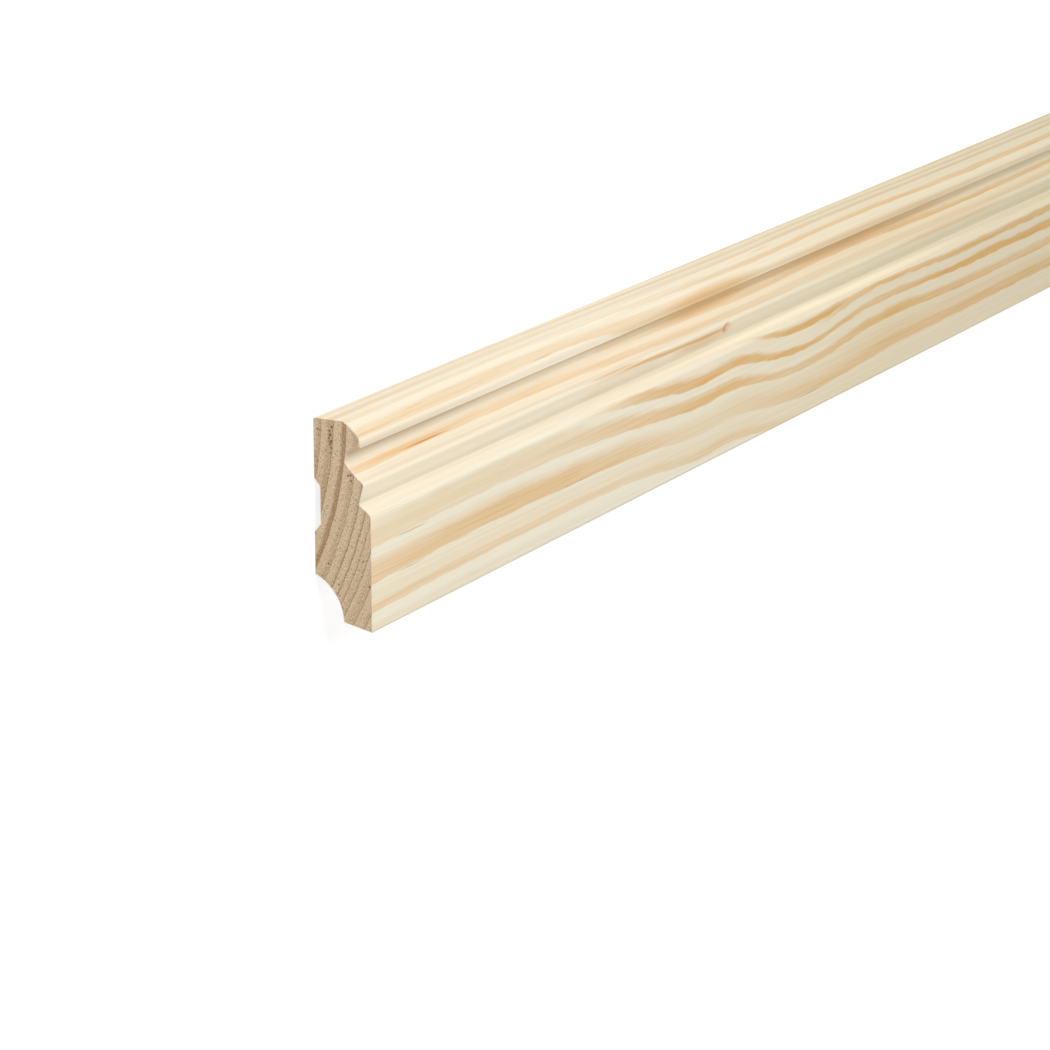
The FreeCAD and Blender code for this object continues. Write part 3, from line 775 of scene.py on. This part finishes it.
planed = add_node(sweep, "GeometryNodeSetMaterial", {"Geometry": real, "Material": given["Planed"]})
ended = add_node(
    sweep, "GeometryNodeSetMaterial",
    {"Geometry": planed, "Selection": is_end, "Material": given["Sawn"]},
)
add_node(sweep, "NodeGroupOutput", {"Board": ended})

modifier = blank.modifiers.new("moulded_length", "NODES")
modifier.node_group = sweep
identifiers = {s.name: s.identifier for s in sweep.interface.items_tree if s.in_out == "INPUT"}
for name, value in (
    ("Section", section), ("Low end", low.x), ("High end", high.x), ("End ease", END_EASE),
    ("Fray", FRAY), ("Sharp angle", SHARP), ("Planed", pine), ("Sawn", end_grain),
):
    modifier[identifiers[name]] = value
mesh = bpy.data.meshes.new_from_object(blank.evaluated_get(bpy.context.evaluated_depsgraph_get()))
for line in (blank, section):
    bpy.data.objects.remove(line)
board = bpy.data.objects.new("moulded_board", mesh)
bpy.context.scene.collection.objects.link(board)
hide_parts("skirting_board")
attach(board, "root")

# The floor
# A plain white paper floor. The camera sees it as white, and it keeps the board's soft shadow.
FLOOR_HALF = 20.0
# The paper that sends light back to the board, and what the camera sees: a darker paper that glows,
# so that it comes out white and its shadow stays faint
PAPER_LIT, PAPER_SEEN, PAPER_GLOW = "#EDEDED", "#A0A0A0", 0.8

paper = bpy.data.materials.new("white_paper")
paper.use_nodes = True
sheet = paper.node_tree
sheet.nodes.remove(sheet.nodes["Principled BSDF"])
bounce = add_node(sheet, "ShaderNodeBsdfDiffuse", {"Color": linear(PAPER_LIT)})
dim = add_node(sheet, "ShaderNodeBsdfDiffuse", {"Color": linear(PAPER_SEEN)})
glow = add_node(sheet, "ShaderNodeEmission", {"Strength": PAPER_GLOW})
seen = add_node(sheet, "ShaderNodeAddShader", {0: dim, 1: glow})
rays = add_node(sheet, "ShaderNodeLightPath")
shown = add_node(sheet, "ShaderNodeMixShader", {0: rays.outputs["Is Camera Ray"], 1: bounce, 2: seen})
sheet.links.new(shown.outputs[0], sheet.nodes["Material Output"].inputs["Surface"])
corners = [(x * FLOOR_HALF, y * FLOOR_HALF, 0) for x, y in ((-1, -1), (1, -1), (1, 1), (-1, 1))]
floor_mesh = bpy.data.meshes.new("floor")
floor_mesh.from_pydata(corners, [], [(0, 1, 2, 3)])
floor_mesh.materials.append(paper)
floor = bpy.data.objects.new("floor", floor_mesh)
bpy.context.scene.collection.objects.link(floor)

# The light
# Soft boxes over the near end and over the far half, one facing each sawn end, and a white room
# all round.
ROOM_LIGHT, BACKDROP_LIGHT = 0.19, 1.0
WHITE = "#FFFFFF"
SOFT_BOXES = [
    # name, place, what it points at, side length, watts
    ("high_key", (-1.45, 0.65, 1.1), (-1.15, 0, 0), 0.6, 10.0),
    ("low_key", (-0.95, 1.0, 0.72), (-1.0, 0, 0), 0.6, 4.8),
    ("fill", (-1.1, -0.9, 0.9), (-1.1, 0, 0), 0.8, 4.3),
    ("far_key", (1.0, 0.5, 0.9), (0.9, 0, 0), 1.0, 8.0),
    ("near_end_fill", (-2.6, -0.1, 0.25), (-1.2, 0, 0.01), 0.4, 4.0),
    ("far_end_fill", (2.6, -0.1, 0.25), (1.2, 0, 0.01), 0.4, 4.0),
]

world = bpy.data.worlds.new("white_room")
bpy.context.scene.world = world
world.use_nodes = True
air = world.node_tree
air.nodes.remove(air.nodes["Background"])
lit = add_node(air, "ShaderNodeBackground", {"Color": linear(WHITE), "Strength": ROOM_LIGHT})
backdrop = add_node(air, "ShaderNodeBackground", {"Color": linear(WHITE), "Strength": BACKDROP_LIGHT})
rays = add_node(air, "ShaderNodeLightPath")
shown = add_node(air, "ShaderNodeMixShader", {0: rays.outputs["Is Camera Ray"], 1: lit, 2: backdrop})
air.links.new(shown.outputs[0], air.nodes["World Output"].inputs["Surface"])
for name, spot_at, target, side, watts in SOFT_BOXES:
    lamp = bpy.data.lights.new(name, "AREA")
    lamp.size = side
    lamp.energy = watts
    holder = bpy.data.objects.new(name, lamp)
    turned = (Vector(target) - Vector(spot_at)).to_track_quat("-Z", "Y").to_matrix()
    holder.matrix_world = Matrix.Translation(spot_at) @ turned.to_4x4()
    holder.visible_camera = False
    bpy.context.scene.collection.objects.link(holder)

# The camera
# It stands off the near end, above the top edge, and looks down along the moulded face.
SENSOR = 36.0
PHOTO_WIDTH = 1050
FOCAL_PIXELS = 4094
CLIP_END = 50.0
CAMERA_PLACE, CAMERA_TARGET = Vector((-2.1063, 0.2991, 0.5597)), Vector((-1.0813, -0.0304, 0))
# The photo was taken with the board standing on its foot, so the camera is rolled over beside it
CAMERA_ROLL = math.radians(98.43)

lens = bpy.data.cameras.new("camera")
lens.sensor_width = SENSOR
lens.lens = FOCAL_PIXELS / PHOTO_WIDTH * SENSOR
lens.clip_end = CLIP_END
camera = bpy.data.objects.new("camera", lens)
aim = (CAMERA_TARGET - CAMERA_PLACE).to_track_quat("-Z", "Y").to_matrix()
rolled = aim @ Matrix.Rotation(CAMERA_ROLL, 3, "Z")
camera.matrix_world = Matrix.Translation(CAMERA_PLACE) @ rolled.to_4x4()
bpy.context.scene.collection.objects.link(camera)
bpy.context.scene.camera = camera
bpy.context.scene.view_settings.view_transform = "Standard"
